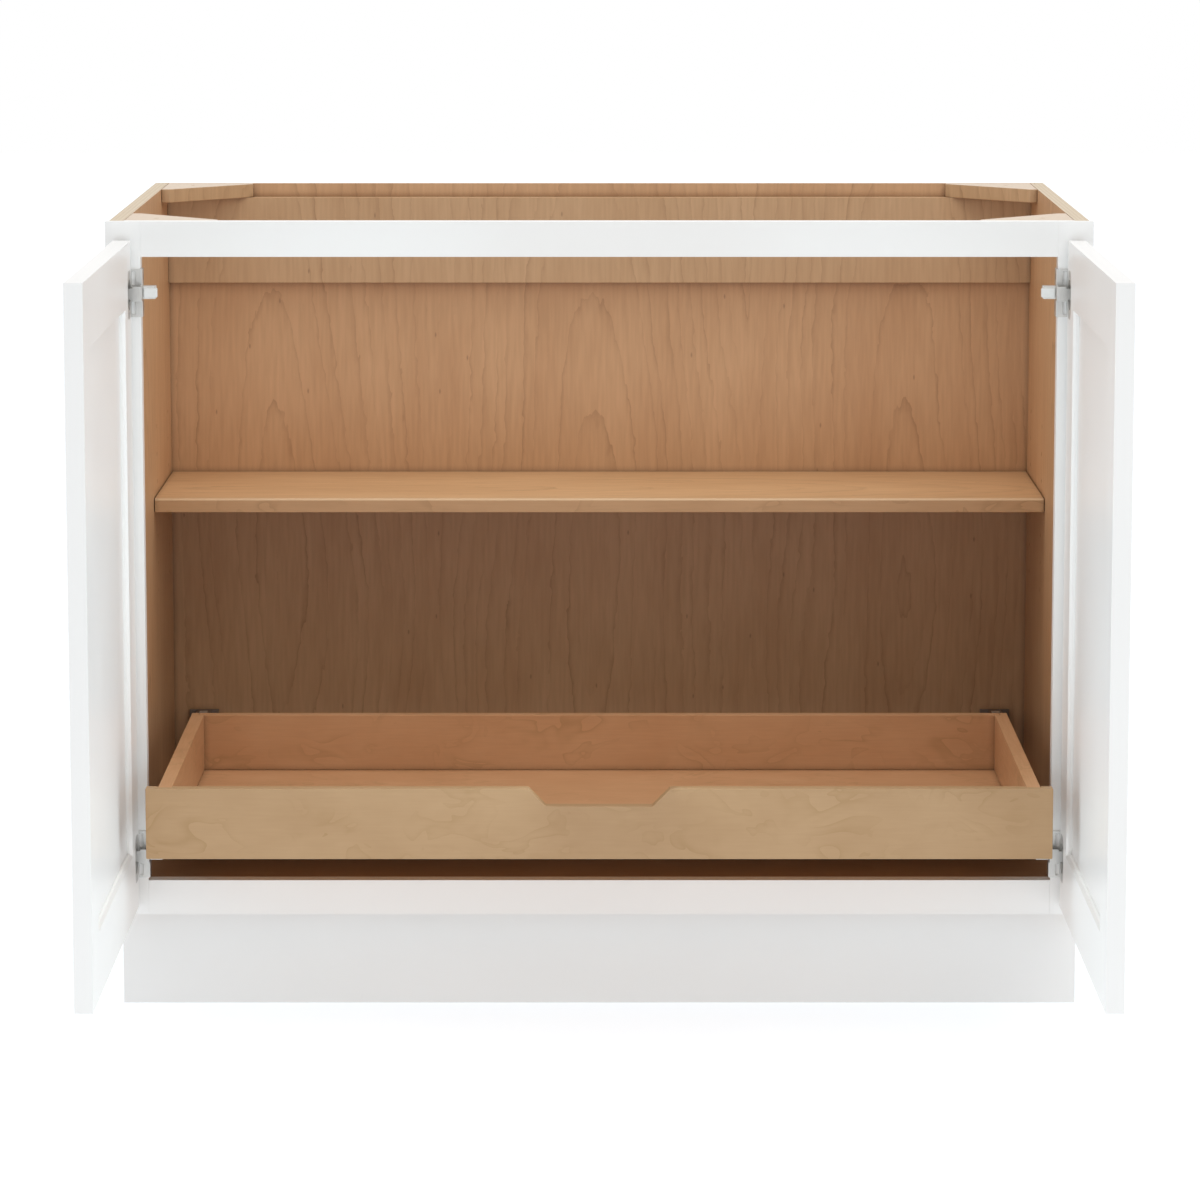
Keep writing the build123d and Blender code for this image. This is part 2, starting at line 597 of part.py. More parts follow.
# Roller slides
def axle(x, y, head_side):
    """A riveted axle along x, with its head at the end that faces away from the steel it is fixed in."""
    pin = rod(AXLE_DIAMETER / 2, x, y, roller_z)
    head_x = (x[0] - AXLE_HEAD_THICK, x[0]) if head_side < 0 else (x[1], x[1] + AXLE_HEAD_THICK)
    return pin + rod(AXLE_HEAD_DIAMETER / 2, head_x, y, roller_z)


def roller(y):
    """A right-hand nylon roller with its bore."""
    x = (roller_x - ROLLER_WIDTH / 2, roller_x + ROLLER_WIDTH / 2)
    wheel = rod(ROLLER_DIAMETER / 2, x, y, roller_z)
    return wheel - rod(AXLE_DIAMETER / 2 + AXLE_FIT, x, y, roller_z)


def slides():
    lip_x = (rail_web - RAIL_LIP, rail_web)
    rail_y = (rail_front, rail_back)
    rail = block((rail_web, rail_outer), rail_y, (rail_low, rail_high))
    rail += block(lip_x, rail_y, (rail_low, rail_floor))
    rail += block(lip_x, rail_y, (rail_high - STEEL_THICK, rail_high))
    roller_half = ROLLER_WIDTH / 2 + ROLLER_CLEAR
    rail_roller_y = rail_front + ROLLER_END_INSET
    rail += axle((roller_x - roller_half, rail_web), rail_roller_y, -1)
    both_sides("slide_rail_{}", rail)
    both_sides("rail_roller_{}", roller(rail_roller_y))

    runner_y = (tray_box_y, tray_back_y)
    runner = block((tray_half - RUNNER_FOOT, runner_outer), runner_y, (TRAY_LOW - STEEL_THICK, TRAY_LOW))
    runner += block((tray_half, runner_outer), runner_y, (TRAY_LOW - STEEL_THICK, runner_high))
    runner += block((runner_outer, runner_outer + RUNNER_FLANGE), runner_y, (runner_top_low, runner_high))
    for y in runner_screw_places():
        runner -= rod(SCREW_DIAMETER / 2 + SCREW_FIT, (tray_half, runner_outer), y, roller_z)
    tray_roller_y = tray_back_y - ROLLER_END_INSET
    runner += axle((runner_outer, roller_x + roller_half), tray_roller_y, 1)
    both_sides("tray_runner_{}", runner)
    both_sides("tray_roller_{}", roller(tray_roller_y))
    screws = [runner_screw(y) for y in runner_screw_places()]
    nodes["runner_screws"] = group(screws + [to_left(screw) for screw in screws])


def slide_mounts():
    """The steel angles behind the stiles and the plastic sockets on the back, with their screws."""
    rail_z = (rail_low, rail_high)
    leg_x = (rail_outer, rail_outer + BRACKET_THICK)
    bracket = block(leg_x, (FRAME_THICK, FRAME_THICK + BRACKET_LENGTH), rail_z)
    tab_y = (FRAME_THICK, FRAME_THICK + BRACKET_THICK)
    bracket += block((leg_x[1], bracket_screw_x() + BRACKET_SCREW_EDGE), tab_y, rail_z)
    bracket -= rod(SCREW_DIAMETER / 2 + SCREW_FIT, bracket_screw_x(), tab_y, roller_z)
    nodes["slide_front_brackets"] = group([bracket, to_left(bracket)])
    head_y = (tab_y[1], tab_y[1] + SCREW_HEAD_THICK)
    front_screw = rod(SCREW_HEAD_DIAMETER / 2, bracket_screw_x(), head_y, roller_z)
    shank_y = (tab_y[1] - SCREW_LENGTH, tab_y[1])
    front_screw += rod(SCREW_DIAMETER / 2, bracket_screw_x(), shank_y, roller_z)

    pocket_x = (rail_web - RAIL_LIP - SOCKET_FIT, rail_outer + SOCKET_FIT)
    socket_x = (pocket_x[0] + pocket_x[1]) / 2
    base_y = (back_front - SOCKET_BASE_THICK, back_front)
    base_x = (socket_x - SOCKET_BASE_WIDTH / 2, socket_x + SOCKET_BASE_WIDTH / 2)
    socket = block(base_x, base_y, (rail_high - SOCKET_BASE_HEIGHT, rail_high))
    body_x = (pocket_x[0] - SOCKET_BODY_WALL, pocket_x[1] + SOCKET_BODY_WALL)
    body_y = (base_y[0] - SOCKET_BODY_LENGTH, base_y[0])
    socket += block(body_x, body_y, (rail_low - SOCKET_BODY_WALL, rail_high))
    socket -= block(pocket_x, (body_y[0], rail_back + SOCKET_FIT), rail_z)
    back_screws = []
    for side in (-1, 1):
        x = socket_x + side * SOCKET_SCREW_SPACING / 2
        shank_y = (base_y[0], base_y[0] + SOCKET_SCREW_LENGTH)
        hole = rod(SCREW_DIAMETER / 2 + SCREW_FIT, x, shank_y, roller_z)
        socket -= hole
        nodes["back_panel"] -= hole
        nodes["back_panel"] -= to_left(hole)
        screw = rod(SCREW_DIAMETER / 2, x, shank_y, roller_z)
        screw += rod(SOCKET_SCREW_HEAD_DIAMETER / 2, x, (base_y[0] - SCREW_HEAD_THICK, base_y[0]), roller_z)
        back_screws.append(screw)
    nodes["slide_rear_sockets"] = group([socket, to_left(socket)])
    screws = [front_screw] + back_screws
    nodes["slide_screws"] = group(screws + [to_left(screw) for screw in screws])


carcass()
face_frame()
shelf()
door_frame()
hinges()
tray_box()
slides()
slide_mounts()

os.makedirs("parts", exist_ok=True)
for node_name, node_shape in nodes.items():
    export_step(Pos(0, -origin_y, 0) * node_shape, f"parts/{node_name}.step")
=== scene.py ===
import json
from math import radians

import bpy
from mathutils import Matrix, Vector

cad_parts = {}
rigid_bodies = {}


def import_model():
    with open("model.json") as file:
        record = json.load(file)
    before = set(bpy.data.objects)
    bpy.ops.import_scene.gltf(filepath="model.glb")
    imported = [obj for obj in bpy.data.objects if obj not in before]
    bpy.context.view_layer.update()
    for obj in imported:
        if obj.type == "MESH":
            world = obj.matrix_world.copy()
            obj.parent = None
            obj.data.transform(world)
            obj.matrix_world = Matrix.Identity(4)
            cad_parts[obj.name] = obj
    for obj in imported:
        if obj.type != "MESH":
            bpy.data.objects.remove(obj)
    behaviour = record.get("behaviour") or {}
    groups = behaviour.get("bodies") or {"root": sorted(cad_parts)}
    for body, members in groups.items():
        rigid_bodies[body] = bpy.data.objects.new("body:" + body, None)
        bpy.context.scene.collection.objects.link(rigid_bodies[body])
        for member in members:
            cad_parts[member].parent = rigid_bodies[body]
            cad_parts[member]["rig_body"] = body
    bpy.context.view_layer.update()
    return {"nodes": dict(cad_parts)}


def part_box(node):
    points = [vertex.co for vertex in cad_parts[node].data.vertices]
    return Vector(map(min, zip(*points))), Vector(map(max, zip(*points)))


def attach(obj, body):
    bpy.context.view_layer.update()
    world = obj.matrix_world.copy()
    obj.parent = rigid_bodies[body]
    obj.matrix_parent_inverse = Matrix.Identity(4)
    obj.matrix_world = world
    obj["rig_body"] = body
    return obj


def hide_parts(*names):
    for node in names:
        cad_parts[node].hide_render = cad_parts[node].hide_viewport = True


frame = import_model()

# Double door base cabinet, seen from the front with its doors open and its tray drawn out.
# Metres, in the frame of the solids: x to the right, y from the doors to the wall, z up.
# Rounded edges and patterns are given in millimetres.

MM = 0.001
NODES = frame["nodes"]
FRAME_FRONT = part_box("frame_top_rail")[0].y
CABINET_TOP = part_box("frame_top_rail")[1].z
SHELF_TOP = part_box("shelf_edge_strip")[1].z
OUTER_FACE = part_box("side_panel_right")[1].x

# Camera: a long lens at eye height, tilted down
CAMERA_SIDE = 0.75 * MM
CAMERA_AWAY = 5559 * MM
CAMERA_HEIGHT = 1300 * MM
CAMERA_TILT = 8.555
CAMERA_LENS = 154.7
CAMERA_SENSOR = 36.0

# Light: the sky's level near the ground and overhead, then each lamp's place, the point that it faces,
# its side, its power and its colour
SKY_LOW = 0.34
SKY_HIGH = 0.97
LAMPS = {
    "key_lamp": ((1.6, -3.1, 3.4), (0.0, 0.0, 0.55), 2.4, 18.8, "#FFFAF4"),
    "top_lamp": ((0.0, 0.25, 3.0), (0.0, 0.25, 0.0), 1.6, 16.0, "#FFFFFF"),
    "left_fill": ((0.0, -0.40, 0.52), (-1.0, -0.65, 0.52), 0.45, 0.98, "#D6F2FF"),
    "right_fill": ((0.0, -0.40, 0.52), (1.0, -0.80, 0.52), 0.45, 0.98, "#D6F2FF"),
}

# Floor: its side and its paint, the tint and level of its own glow, and how the level changes to the eye
FLOOR_SIZE = 30.0
FLOOR_PAINT = "#CFCFCF"
FLOOR_TINT = "#F0F8FF"
FLOOR_GLOW = 0.73
FLOOR_LIFT = -0.03

# Edges: how near points are merged, which edges are flat or sharp, and how far each kind is rounded
MERGE = 0.002 * MM
FLAT_ANGLE = radians(0.5)
SHARP_ANGLE = radians(30)
PAINT_EASE = 0.3
BOARD_EASE = 0.5
GUSSET_EASE = 1.2
TRAY_EASE = 0.9
METAL_EASE = 0.25
PLASTIC_EASE = 0.5

# Lacquer on the outside of the side panels: which faces point outwards, and where it begins
FACING_OUT = 0.5
PAINTED_FROM = OUTER_FACE - BOARD_EASE * MM

# Growth lines of plain-sliced maple: leaves of veneer, the slope and depth of the cut, and the years
LEAF_WIDTH = 189
CUT_SLOPE = 0.16
HEART_DEPTH = 60
YEAR_WIDTH = 15
YEAR_SPREAD = 0.9
LATE_SHARPNESS = 7.0
FADE_SIZE = 40

# Bends and kinks of the log: their sizes, and how far they reach across the grain and along it
LOG_STRETCH = (1, 0.3, 1)
BEND_SIZE = 150
BEND_REACH = (70 * MM, 16 * MM, 0)
KINK_SIZE = 7
KINK_REACH = (9 * MM, 5 * MM, 0)
NOISE_MIDDLE = (0.5, 0.5, 0.5)

# Places of the hearts that the growth lines arch about, across the grain and along it
BACK_HEART = (-0.011, 0.775)
SIDE_HEART = (0.21, 0.50)
SHELF_HEART = (0.40, 0.10)

# Pin knots: the net that they lie on, and the share of its cells that have none
PIN_SPACING = 38
PIN_STRETCH = (1, 0.35, 1)
PIN_FREE = 0.76

# Quilted figure: its clouds, its curled lines and the patches where they show
QUILT_STRETCH = (1, 0.55, 1)
QUILT_CLOUD = 45
CURL_SIZE = 38
CURL_COUNT = 5.0
CURL_SHARPNESS = 4.0
CURL_STRENGTH = 0.40
PATCH_SIZE = 50

# Fine streaks: their width, their stretch along the grain and their strength.
# Those of real maple are under 1 mm wide. They are drawn wider to show at this distance.
VENEER_STREAKS = (4, (1, 0.07, 1), 0.20)
QUILT_STREAKS = (2, (1, 0.05, 1), 0.12)

# Other marks of wood: clouds of veneer and a pair of plies, then painted shade in inner corners and a
# painted highlight on the shelf's top arris
VENEER_CLOUD = 60
PLY_PAIR = 4.4
PLY_SHARE = 0.5
CORNER_SHADE_REACH = 8
CORNER_SHADE_SHARPNESS = 2.0
HIGHLIGHT_SHARE = 0.6
RAW_ABOVE = CABINET_TOP - 0.2 * MM
HIGHLIGHT_ABOVE = SHELF_TOP - 2.2 * MM

# Lacquer, metal and plastic. Real orange peel is about 1 mm across. It is drawn wider to show.
LACQUER_CLOUD = 160
ORANGE_PEEL = 2.5
ROLLING_MARK = 0.8
ROLLING_STRETCH = (1, 1, 0.08)
PLASTIC_CLOUD = 9
MOULD_SPARK = 0.5

# Tones of maple boards, of their darker and their lighter clouds
RAIL_TONES = ("#C09970", "#D3B089")
PANEL_TONES = ("#C6996F", "#D9B086")
SHELF_TONES = ("#CCA071", "#DFB688")
LIPPING_TONES = ("#BE9367", "#D0A77C")
# Painted shade: the cabinet floor under the tray gets much darker tones than the other boards
SHADED_FLOOR_TONES = ("#917052", "#A17F61")
TRAY_FRONT_TONES = ("#A6825A", "#B99770")
TRAY_TONES = ("#BD8A5F", "#CFA076")
BARE_RAIL_TONES = ("#E3D3C2", "#DCCAB7")
BARE_SIDE_TONES = ("#D9CAB4", "#D1C0A8")

# Tones of the marks in them
STREAK_TONE = "#9A744E"
BARE_STREAK_TONE = "#B99F7C"
LATE_TONE = "#8A6238"
PIN_TONE = "#6B4827"
CURL_TONE = "#94703F"
# Painted highlight along the shelf's top arris
HIGHLIGHT_TONE = "#E2C39B"
# Painted shade in the inner corners
CORNER_SHADE_TONE = "#6E4A2C"


def srgb(code):
    """The linear colour of an sRGB hex code."""
    parts = [int(code[i:i + 2], 16) / 255 for i in (1, 3, 5)]
    return [c / 12.92 if c <= 0.04045 else ((c + 0.055) / 1.055) ** 2.4 for c in parts] + [1.0]


def per_mm(size):
    """The scale of a pattern whose marks are this many millimetres across."""
    return 1 / (size * MM)


def add(tree, kind, inputs, **settings):
    """Adds a node with its settings, and feeds its inputs with values or with outputs of other nodes."""
    made = tree.nodes.new("ShaderNode" + kind)
    for name, value in settings.items():
        setattr(made, name, value)
    for socket, source in inputs.items():
        if isinstance(source, bpy.types.NodeSocket):
            tree.links.new(source, made.inputs[socket])
        else:
            made.inputs[socket].default_value = source
    return made


def blank_tree(owner):
    """Turns on the nodes of a material or a world, with none in place yet."""
    owner.use_nodes = True
    owner.node_tree.nodes.clear()
    return owner.node_tree


def new_material(name):
    """A material with one surface shader, and the piece's own coordinates to draw patterns on."""
    material = bpy.data.materials.new(name)
    tree = blank_tree(material)
    shader = add(tree, "BsdfPrincipled", {})
    add(tree, "OutputMaterial", {"Surface": shader.outputs[0]})
    place = add(tree, "TexCoord", {}).outputs["Object"]
    return material, tree, shader, place


def dress(tree, shader, colour, rough, height, strength, depth):
    """Gives a shader its colour, its roughness and a relief that is this many millimetres deep."""
    relief = add(tree, "Bump", {"Height": height, "Strength": strength, "Distance": depth * MM})
    tree.links.new(colour, shader.inputs["Base Color"])
    tree.links.new(rough, shader.inputs["Roughness"])
    tree.links.new(relief.outputs[0], shader.inputs["Normal"])


# Marks in wood
def grain_space(tree, place, across, along):
    """A piece's coordinates turned so that X is across the grain, Y along it and Z into the board."""
    axes = add(tree, "SeparateXYZ", {0: place}).outputs
    into = ({"X", "Y", "Z"} - {across, along}).pop()
    return add(tree, "CombineXYZ", {"X": axes[across], "Y": axes[along], "Z": axes[into]}).outputs[0]


def above(tree, place, height):
    """1 where a piece is higher than this, and 0 elsewhere."""
    axes = add(tree, "SeparateXYZ", {0: place}).outputs
    return add(tree, "Math", {0: axes["Z"], 1: height}, operation="GREATER_THAN").outputs[0]


def log_wander(tree, drawn_out):
    """How the log strays across and along: broad bends, and small kinks that jog each line."""
    bend = add(tree, "TexNoise", {"Vector": drawn_out, "Scale": per_mm(BEND_SIZE), "Detail": 1.0})
    kink = add(tree, "TexNoise", {"Vector": drawn_out, "Scale": per_mm(KINK_SIZE), "Detail": 2.0})
    moves = []
    for noise, reach in ((bend, BEND_REACH), (kink, KINK_REACH)):
        colour = noise.outputs["Color"]
        stray = add(tree, "VectorMath", {0: colour, 1: NOISE_MIDDLE}, operation="SUBTRACT").outputs[0]
        moves.append(add(tree, "VectorMath", {0: stray, 1: reach}, operation="MULTIPLY").outputs[0])
    both = add(tree, "VectorMath", {0: moves[0], 1: moves[1]}, operation="ADD").outputs[0]
    return add(tree, "SeparateXYZ", {0: both}).outputs


def ring_radius(tree, grain, drawn_out, heart):
    """How far each point of a sloping cut lies from the heart of the log.

    Leaves of veneer lie side by side, each turned over against the one before it.
    """
    wander = log_wander(tree, drawn_out)
    axes = add(tree, "SeparateXYZ", {0: grain}).outputs
    shifted = add(tree, "Math", {0: axes["X"], 1: heart[0]}, operation="SUBTRACT").outputs[0]
    folded = add(tree, "Math", {0: shifted, 1: LEAF_WIDTH * MM}, operation="PINGPONG").outputs[0]
    offset = add(tree, "Math", {0: folded, 1: wander["X"]}, operation="ADD").outputs[0]
    rise = add(tree, "Math", {0: axes["Y"], 1: heart[1]}, operation="SUBTRACT").outputs[0]
    slope = add(tree, "Math", {0: rise, 1: CUT_SLOPE, 2: HEART_DEPTH * MM}, operation="MULTIPLY_ADD")
    slope = add(tree, "Math", {0: slope.outputs[0], 1: wander["Y"]}, operation="ADD").outputs[0]
    cut = add(tree, "CombineXYZ", {"X": offset, "Y": slope}).outputs[0]
    return add(tree, "VectorMath", {0: cut}, operation="LENGTH").outputs["Value"]


def growth_lines(tree, grain, drawn_out, heart):
    """Wide and narrow years, each ending in a thin late line that comes and goes."""
    radius = ring_radius(tree, grain, drawn_out, heart)
    years = add(tree, "Math", {0: radius, 1: per_mm(YEAR_WIDTH)}, operation="MULTIPLY").outputs[0]
    spread = add(tree, "TexNoise", {"W": years, "Scale": 0.7, "Detail": 0.0}, noise_dimensions="1D")
    years = add(tree, "Math", {0: spread.outputs[0], 1: YEAR_SPREAD, 2: years}, operation="MULTIPLY_ADD")
    season = add(tree, "Math", {0: years.outputs[0]}, operation="FRACT").outputs[0]
    year = add(tree, "Math", {0: years.outputs[0]}, operation="FLOOR").outputs[0]
    late = add(tree, "Math", {0: season, 1: LATE_SHARPNESS}, operation="POWER").outputs[0]
    strength = add(tree, "TexWhiteNoise", {"W": year}, noise_dimensions="1D").outputs["Value"]
    strength = add(tree, "MapRange", {"Value": strength, "To Min": 0.05, "To Max": 0.52}).outputs[0]
    fade = add(tree, "TexNoise", {"Vector": drawn_out, "Scale": per_mm(FADE_SIZE), "Detail": 1.0}).outputs[0]
    fade = add(tree, "MapRange", {"Value": fade, "From Min": 0.35, "From Max": 0.6, "To Min": 0.3})
    strength = add(tree, "Math", {0: strength, 1: fade.outputs[0]}, operation="MULTIPLY").outputs[0]
    return add(tree, "Math", {0: late, 1: strength}, operation="MULTIPLY").outputs[0]


def fine_streaks(tree, grain, width, stretch, strength):
    """Fibres as fine streaks, first as they are and then as a share of darker wood."""
    drawn_out = add(tree, "VectorMath", {0: grain, 1: stretch}, operation="MULTIPLY").outputs[0]
    streak = add(tree, "TexNoise", {"Vector": drawn_out, "Scale": per_mm(width), "Detail": 2.0}).outputs[0]
    dark = add(tree, "MapRange", {"Value": streak, "From Min": 0.3, "From Max": 0.7, "To Max": strength})
    return streak, dark.outputs[0]


def pin_knots(tree, grain):
    """Short dark flecks along the grain, in some of the cells of a net."""
    drawn_out = add(tree, "VectorMath", {0: grain, 1: PIN_STRETCH}, operation="MULTIPLY").outputs[0]
    net = {"Vector": drawn_out, "Scale": per_mm(PIN_SPACING)}
    cell = add(tree, "TexVoronoi", net, voronoi_dimensions="2D").outputs
    chosen = add(tree, "SeparateXYZ", {0: cell["Color"]}).outputs["X"]
    chosen = add(tree, "Math", {0: chosen, 1: PIN_FREE}, operation="GREATER_THAN").outputs[0]
    spot = add(tree, "MapRange", {"Value": cell["Distance"], "From Min": 0.01, "From Max": 0.036,
                                  "To Min": 0.45, "To Max": 0.0}).outputs[0]
    return add(tree, "Math", {0: spot, 1: chosen}, operation="MULTIPLY").outputs[0]


def curled_lines(tree, drawn_out):
    """Curled lines where soft waves of the figure end, in patches."""
    swirl = add(tree, "TexNoise", {"Vector": drawn_out, "Scale": per_mm(CURL_SIZE), "Detail": 2.0,
                                   "Distortion": 0.8}).outputs[0]
    waves = add(tree, "Math", {0: swirl, 1: CURL_COUNT}, operation="MULTIPLY").outputs[0]
    wave = add(tree, "Math", {0: waves}, operation="FRACT").outputs[0]
    curl = add(tree, "Math", {0: wave, 1: CURL_SHARPNESS}, operation="POWER").outputs[0]
    patch = add(tree, "TexNoise", {"Vector": drawn_out, "Scale": per_mm(PATCH_SIZE), "Detail": 1.0})
    patch = add(tree, "MapRange", {"Value": patch.outputs[0], "From Min": 0.40, "From Max": 0.66,
                                   "To Max": CURL_STRENGTH}).outputs[0]
    return add(tree, "Math", {0: curl, 1: patch}, operation="MULTIPLY").outputs[0]


def bare_edge(tree, grain, streaks, tones):
    """Cut plywood without a finish: pale plies of two tones, under the same fine streaks."""
    depth = add(tree, "SeparateXYZ", {0: grain}).outputs["Z"]
    plies = add(tree, "Math", {0: depth, 1: per_mm(PLY_PAIR)}, operation="MULTIPLY").outputs[0]
    plies = add(tree, "Math", {0: plies}, operation="FRACT").outputs[0]
    plies = add(tree, "Math", {0: plies, 1: PLY_SHARE}, operation="GREATER_THAN").outputs[0]
    bare = add(tree, "MixRGB", {"Fac": plies, "Color1": srgb(tones[0]), "Color2": srgb(tones[1])}).outputs[0]
    return add(tree, "MixRGB", {"Fac": streaks, "Color1": bare, "Color2": srgb(BARE_STREAK_TONE)}).outputs[0]


def painted_corner_shade(tree, colour):
    """Painted shade: each inner corner where boards meet is darkened into a thin dark line, wherever ambient
    occlusion finds another surface close by.
    """
    clear = add(tree, "AmbientOcclusion", {"Distance": CORNER_SHADE_REACH * MM}, samples=2).outputs["AO"]
    shut_in = add(tree, "MapRange", {"Value": clear, "From Min": 0.80, "From Max": 0.30}).outputs[0]
    corner_shade = add(tree, "Math", {0: shut_in, 1: CORNER_SHADE_SHARPNESS}, operation="POWER").outputs[0]
    return add(tree, "MixRGB", {"Fac": corner_shade, "Color1": colour, "Color2": srgb(CORNER_SHADE_TONE)}).outputs[0]


# Materials
def maple_veneer(name, across, along, heart, tones, raw=None):
    """Clear-coated plain-sliced maple: tan wood with arched growth lines, fine streaks and a few pins.

    With raw tones given, the topmost faces are bare end and edge wood, paler and dull.
    """
    material, tree, shader, place = new_material(name)
    grain = grain_space(tree, place, across, along)
    drawn_out = add(tree, "VectorMath", {0: grain, 1: LOG_STRETCH}, operation="MULTIPLY").outputs[0]
    clouds = {"Vector": drawn_out, "Scale": per_mm(VENEER_CLOUD), "Detail": 2.0}
    cloud = add(tree, "TexNoise", clouds).outputs[0]
    base = add(tree, "MixRGB", {"Fac": cloud, "Color1": srgb(tones[0]), "Color2": srgb(tones[1])}).outputs[0]
    streak, streaks = fine_streaks(tree, grain, *VENEER_STREAKS)
    lines = growth_lines(tree, grain, drawn_out, heart)
    for mark, tone in ((streaks, STREAK_TONE), (lines, LATE_TONE), (pin_knots(tree, grain), PIN_TONE)):
        base = add(tree, "MixRGB", {"Fac": mark, "Color1": base, "Color2": srgb(tone)}).outputs[0]
    dull = add(tree, "MapRange", {"Value": streak, "To Min": 0.36, "To Max": 0.50}).outputs[0]
    if raw is not None:
        top = above(tree, place, RAW_ABOVE)
        bare = bare_edge(tree, grain, streaks, raw)
        base = add(tree, "MixRGB", {"Fac": top, "Color1": base, "Color2": bare}).outputs[0]
        dull = add(tree, "MapRange", {"Value": top, "To Min": dull, "To Max": 0.75}).outputs[0]
    # The base colour takes painted shade in the inner corners.
    dress(tree, shader, painted_corner_shade(tree, base), dull, streak, strength=0.06, depth=0.2)
    return material


def figured_maple(name, across, along, tones, highlight_above=None):
    """Clear-coated maple with a quilted figure: pale tan with soft clouds and patches of curled lines.

    Wood above the height given last takes a painted highlight: a lighter tone along the top arris.
    """
    material, tree, shader, place = new_material(name)
    grain = grain_space(tree, place, across, along)
    drawn_out = add(tree, "VectorMath", {0: grain, 1: QUILT_STRETCH}, operation="MULTIPLY").outputs[0]
    clouds = {"Vector": drawn_out, "Scale": per_mm(QUILT_CLOUD), "Detail": 3.0}
    cloud = add(tree, "TexNoise", clouds).outputs[0]
    base = add(tree, "MixRGB", {"Fac": cloud, "Color1": srgb(tones[0]), "Color2": srgb(tones[1])}).outputs[0]
    streak, streaks = fine_streaks(tree, grain, *QUILT_STREAKS)
    for mark, tone in ((curled_lines(tree, drawn_out), CURL_TONE), (streaks, STREAK_TONE)):
        base = add(tree, "MixRGB", {"Fac": mark, "Color1": base, "Color2": srgb(tone)}).outputs[0]
    # Painted highlight: the top arris is made lighter, as if lit from above.
    if highlight_above is not None:
        top = above(tree, place, highlight_above)
        painted_highlight = add(tree, "Math", {0: top, 1: HIGHLIGHT_SHARE}, operation="MULTIPLY").outputs[0]
        base = add(tree, "MixRGB", {"Fac": painted_highlight, "Color1": base, "Color2": srgb(HIGHLIGHT_TONE)}).outputs[0]
    dull = add(tree, "MapRange", {"Value": streak, "To Min": 0.36, "To Max": 0.48}).outputs[0]
    # The base colour takes painted shade in the inner corners.
    dress(tree, shader, painted_corner_shade(tree, base), dull, streak, strength=0.05, depth=0.2)
    return material


def white_lacquer(name, light, dark):
    """Sprayed satin lacquer: a bright, even white with a faint orange-peel ripple in its sheen."""
    material, tree, shader, place = new_material(name)
    clouds = {"Vector": place, "Scale": per_mm(LACQUER_CLOUD), "Detail": 2.0}
    cloud = add(tree, "TexNoise", clouds).outputs[0]
    tone = add(tree, "MixRGB", {"Fac": cloud, "Color1": srgb(dark), "Color2": srgb(light)}).outputs[0]
    sheen = add(tree, "MapRange", {"Value": cloud, "To Min": 0.30, "To Max": 0.38}).outputs[0]
    peel = add(tree, "TexNoise", {"Vector": place, "Scale": per_mm(ORANGE_PEEL), "Detail": 1.0}).outputs[0]
    dress(tree, shader, tone, sheen, peel, strength=0.03, depth=0.3)
    return material


def plated_steel(name, light, dark, gloss):
    """Pressed steel with a thin bright plating: grey mirror softened by fine rolling marks."""
    material, tree, shader, place = new_material(name)
    shader.inputs["Metallic"].default_value = 1.0
    drawn_out = add(tree, "VectorMath", {0: place, 1: ROLLING_STRETCH}, operation="MULTIPLY").outputs[0]
    rolled = {"Vector": drawn_out, "Scale": per_mm(ROLLING_MARK), "Detail": 2.0}
    marks = add(tree, "TexNoise", rolled).outputs[0]
    tone = add(tree, "MixRGB", {"Fac": marks, "Color1": srgb(dark), "Color2": srgb(light)}).outputs[0]
    rough = add(tree, "MapRange", {"Value": marks, "To Min": gloss - 0.06, "To Max": gloss + 0.08})
    dress(tree, shader, tone, rough.outputs[0], marks, strength=0.08, depth=0.05)
    return material


def moulded_plastic(name, light, dark, rough):
    """Moulded plastic or baked enamel: an even body colour under a fine sparkling grit."""
    material, tree, shader, place = new_material(name)
    clouds = {"Vector": place, "Scale": per_mm(PLASTIC_CLOUD), "Detail": 2.0}
    cloud = add(tree, "TexNoise", clouds).outputs[0]
    tone = add(tree, "MixRGB", {"Fac": cloud, "Color1": srgb(dark), "Color2": srgb(light)}).outputs[0]
    dull = add(tree, "MapRange", {"Value": cloud, "To Min": rough - 0.05, "To Max": rough + 0.05}).outputs[0]
    spark = add(tree, "TexNoise", {"Vector": place, "Scale": per_mm(MOULD_SPARK), "Detail": 1.0}).outputs[0]
    dress(tree, shader, tone, dull, spark, strength=0.10, depth=0.05)
    return material


LACQUER = white_lacquer("sprayed_white_lacquer", "#F8F7F5", "#F4F3F1")
RAIL_VENEER = maple_veneer("maple_veneer_rail", "X", "Z", BACK_HEART, RAIL_TONES, BARE_RAIL_TONES)
BACK_VENEER = maple_veneer("maple_veneer_back", "X", "Z", BACK_HEART, PANEL_TONES)
SIDE_VENEER = maple_veneer("maple_veneer_side", "Y", "Z", SIDE_HEART, PANEL_TONES, BARE_SIDE_TONES)
SHELF_VENEER = maple_veneer("maple_veneer_shelf", "Y", "X", SHELF_HEART, SHELF_TONES)
